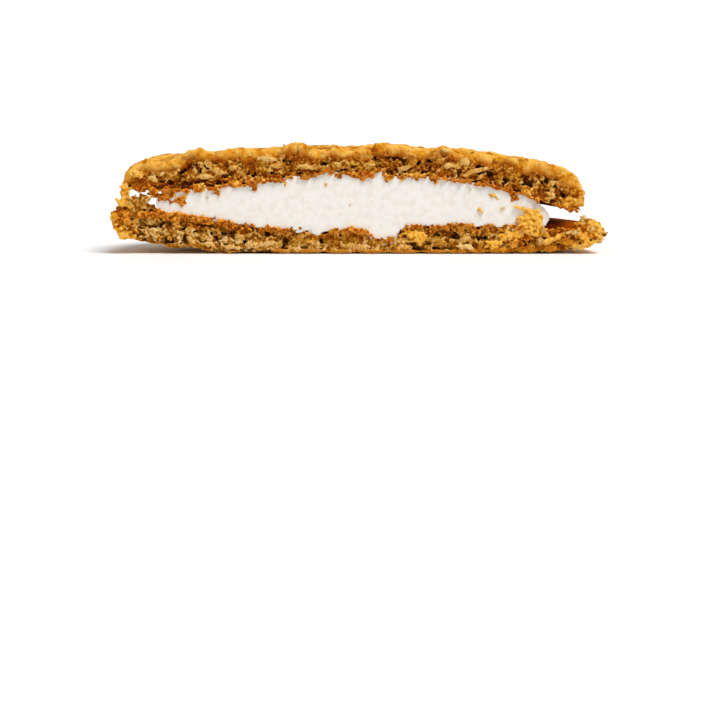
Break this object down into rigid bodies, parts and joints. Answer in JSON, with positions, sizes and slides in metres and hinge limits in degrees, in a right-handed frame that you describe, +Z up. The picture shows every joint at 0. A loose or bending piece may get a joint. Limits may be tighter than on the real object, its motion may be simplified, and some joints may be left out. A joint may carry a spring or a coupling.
{
  "type": "oatmeal cream pie half",
  "caption": "Half of a round oatmeal cream pie, cut straight across: soft oatmeal cookies with a thick layer of white cream between them.",
  "frame": {"origin": "bottom centre of the bounding box, on the surface that the half rests on", "axes": "+X along the straight cut, to the right for a viewer who faces it; +Y away from that viewer, from the cut to the round rim; +Z up"},
  "size_m": [0.08, 0.0402, 0.0182],
  "materials": {
    "top_cookie": "soft baked oatmeal cookie, golden crust and porous brown crumb",
    "cream": "whipped white cream filling, fine soft pits on the cut",
    "bottom_cookie": "soft baked oatmeal cookie, brown flat side and porous brown crumb"
  },
  "bodies": {
    "root": {"top_cookie": "top_cookie", "cream_filling": "cream", "bottom_cookie": "bottom_cookie"}
  },
  "joints": []
}
